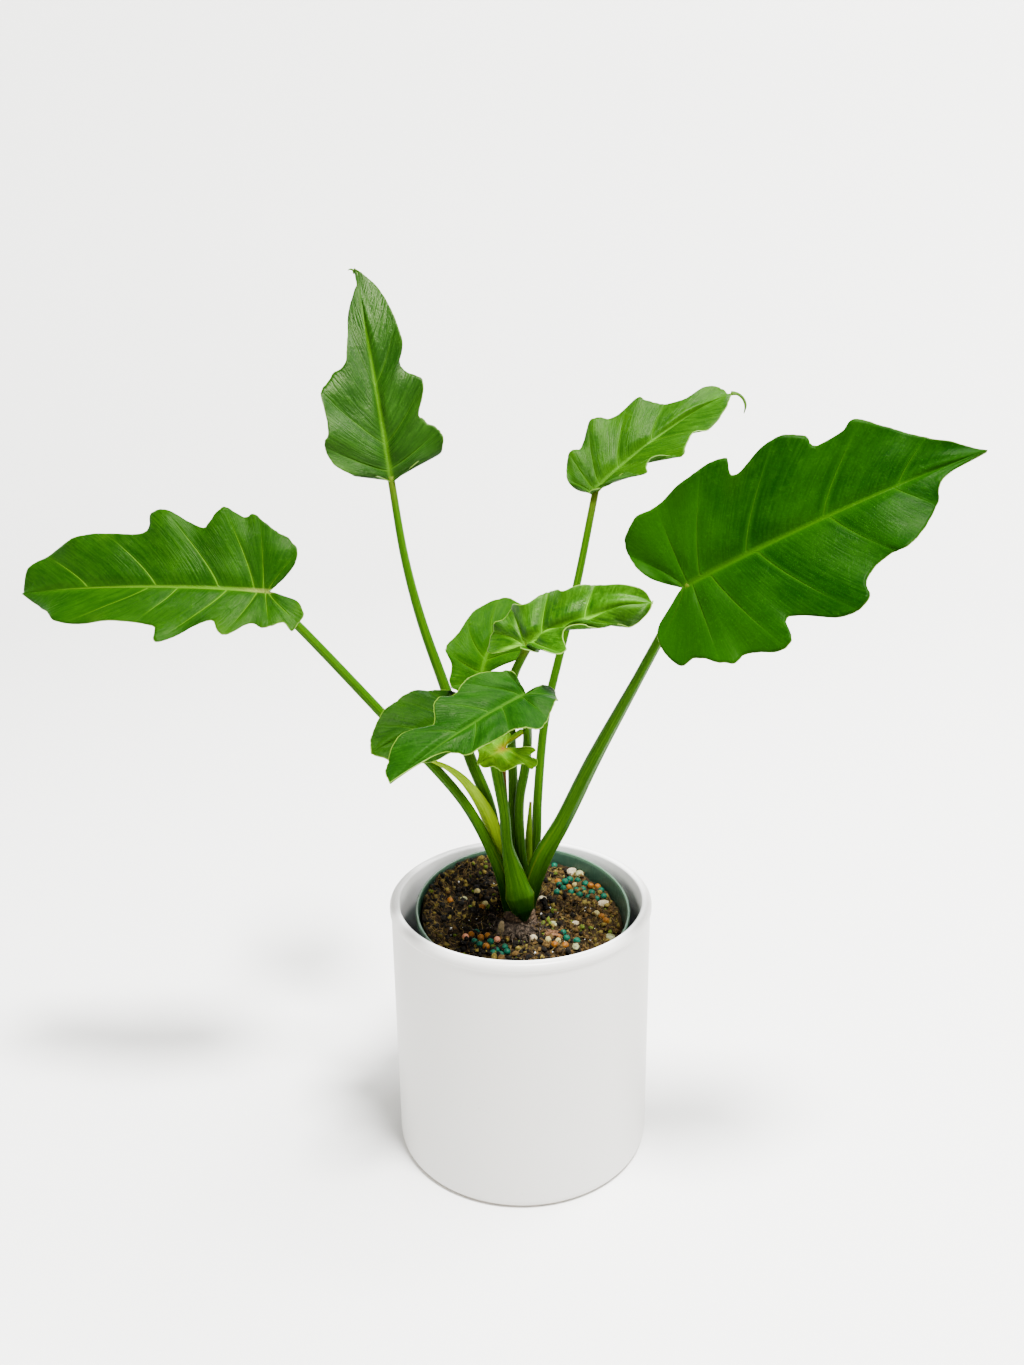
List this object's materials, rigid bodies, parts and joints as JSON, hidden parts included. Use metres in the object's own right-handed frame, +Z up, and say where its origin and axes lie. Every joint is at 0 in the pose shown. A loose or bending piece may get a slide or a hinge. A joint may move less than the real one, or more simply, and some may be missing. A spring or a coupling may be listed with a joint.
{
  "type": "potted shangri-la philodendron",
  "caption": "Leafy house plant with lobed, wavy, glossy leaves on long stalks, in a green nursery pot inside a white cylindrical ceramic pot.",
  "frame": {"origin": "centre of the ceramic pot's underside, on the surface it stands on", "axes": "+Z up; -Y is the side the plant is seen from, with +X to the right"},
  "size_m": [0.4041, 0.1802, 0.4192],
  "materials": {
    "white_glaze": "satin white glaze",
    "green_plastic": "thin green plastic",
    "potting_soil": "loose dark potting soil with fertiliser prills and pebbles",
    "stem_base": "brown fibrous stem base",
    "leaf_green": "glossy green leaf",
    "leaf_bright": "glossy bright green leaf",
    "leaf_young": "soft yellow-green leaf",
    "stalk_green": "smooth green leaf stalk",
    "scale_leaf": "soft yellow-green scale leaf"
  },
  "bodies": {
    "root": {"ceramic_pot": "white_glaze", "nursery_pot": "green_plastic", "soil": "potting_soil", "crown": "stem_base", "leaf_left": "leaf_green", "leaf_tall": "leaf_green", "leaf_back": "leaf_green", "leaf_right": "leaf_green", "leaf_centre_right": "leaf_bright", "leaf_centre_rear": "leaf_bright", "leaf_front": "leaf_green", "leaf_under": "leaf_green", "leaf_young": "leaf_young", "stalk_centre_rear": "stalk_green", "stalk_right": "stalk_green", "stalk_left": "stalk_green", "stalk_young": "stalk_green", "stalk_front": "stalk_green", "stalk_centre_right": "stalk_green", "stalk_tall": "stalk_green", "stalk_back": "stalk_green", "stalk_under": "stalk_green", "cataphyll_large": "scale_leaf", "cataphyll_small": "scale_leaf"}
  },
  "joints": []
}
